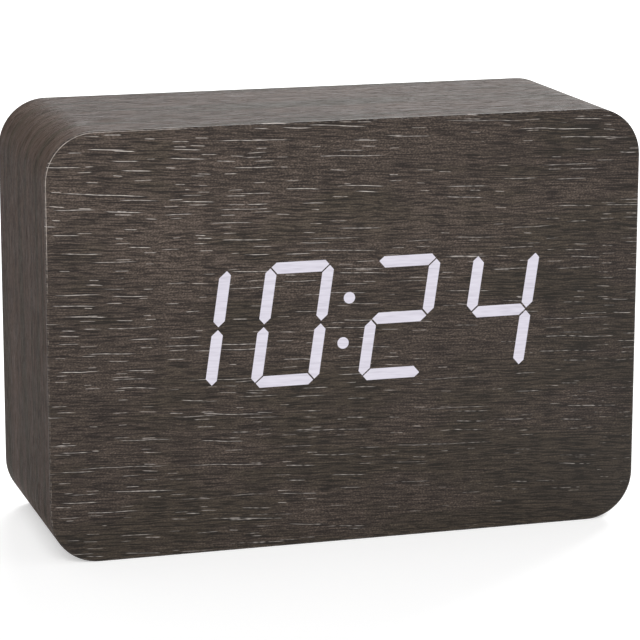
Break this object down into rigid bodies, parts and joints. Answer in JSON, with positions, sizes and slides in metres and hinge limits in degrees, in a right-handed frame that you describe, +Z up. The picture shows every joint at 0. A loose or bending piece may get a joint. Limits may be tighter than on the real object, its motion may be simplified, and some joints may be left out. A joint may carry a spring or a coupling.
{
  "type": "digital table clock",
  "caption": "Wood block table clock with rounded corners, digits that glow through its dark veneer, a rear cover with a hinged battery door and push buttons.",
  "frame": {"origin": "centre of the base, on the surface that the clock stands on", "axes": "+X to the right of someone who reads the digits, +Y from the digits to the rear, +Z up"},
  "size_m": [0.1, 0.038, 0.07],
  "materials": {
    "fibreboard": "milled, matte",
    "wrap_veneer": "smooth satin, fine grain along the band",
    "face_veneer": "open grained, pale filled pores, satin",
    "white_plastic": "matte white",
    "milky_resin": "milky, lets light through",
    "light_chip": "yellow phosphor in a white cup",
    "circuit_board": "green solder mask",
    "zinc_steel": "zinc plated",
    "black_steel": "black oxide",
    "black_resin": "moulded, matte",
    "tinned_metal": "tin plated, bright",
    "cell_steel": "bright nickel",
    "capacitor_sleeve": "shrunk sleeve",
    "cream_plastic": "moulded, matte",
    "ribbon_film": "thin film, white",
    "cover_plastic": "fine spark texture",
    "button_plastic": "satin black",
    "cell_jacket": "plain printed jacket",
    "nickel_strip": "nickel plated",
    "lead_sleeve": "flexible sleeve"
  },
  "bodies": {
    "clock_body": {"wood_core": "fibreboard", "wrap_veneer": "wrap_veneer", "front_veneer": "face_veneer", "rear_veneer": "face_veneer", "display_reflector": "white_plastic", "digit_1_diffusers": "milky_resin", "digit_2_diffusers": "milky_resin", "digit_3_diffusers": "milky_resin", "digit_4_diffusers": "milky_resin", "colon_diffusers": "milky_resin", "light_chips": "light_chip", "display_board": "circuit_board", "key_board": "circuit_board", "display_board_screws": "zinc_steel", "key_board_screws": "zinc_steel", "cover_screws": "black_steel", "controller_chip": "black_resin", "driver_chip": "black_resin", "chip_legs": "tinned_metal", "clock_crystal": "tinned_metal", "buzzer": "black_resin", "backup_cell": "cell_steel", "backup_cell_holder": "black_resin", "power_capacitor": "capacitor_sleeve", "segment_resistors": "black_resin", "display_board_plug": "cream_plastic", "key_board_plug": "cream_plastic", "ribbon_cable": "ribbon_film", "socket_shell": "tinned_metal", "socket_tongue": "black_resin", "rear_cover": "cover_plastic", "battery_cells": "cell_jacket", "battery_contacts": "nickel_strip", "contact_springs": "nickel_strip", "battery_leads": "lead_sleeve", "switch_bodies": "black_resin"},
    "battery_door": {"battery_door": "cover_plastic"},
    "button_1": {"button_cap_1": "button_plastic", "switch_plunger_1": "black_resin"},
    "button_2": {"button_cap_2": "button_plastic", "switch_plunger_2": "black_resin"},
    "button_3": {"button_cap_3": "button_plastic", "switch_plunger_3": "black_resin"}
  },
  "joints": [
    {"name": "battery_door_hinge", "type": "hinge", "parent": "clock_body", "child": "battery_door", "pos_m": [0.0195, 0.018, 0.01015], "axis": [-1, 0, 0], "range_deg": [0, 75]},
    {"name": "button_1_press", "type": "slide", "parent": "clock_body", "child": "button_1", "axis": [0, -1, 0], "range_m": [0, 0.0005], "stiffness_N_per_m": 1500},
    {"name": "button_2_press", "type": "slide", "parent": "clock_body", "child": "button_2", "axis": [0, -1, 0], "range_m": [0, 0.0005], "stiffness_N_per_m": 1500},
    {"name": "button_3_press", "type": "slide", "parent": "clock_body", "child": "button_3", "axis": [0, -1, 0], "range_m": [0, 0.0005], "stiffness_N_per_m": 1500}
  ]
}
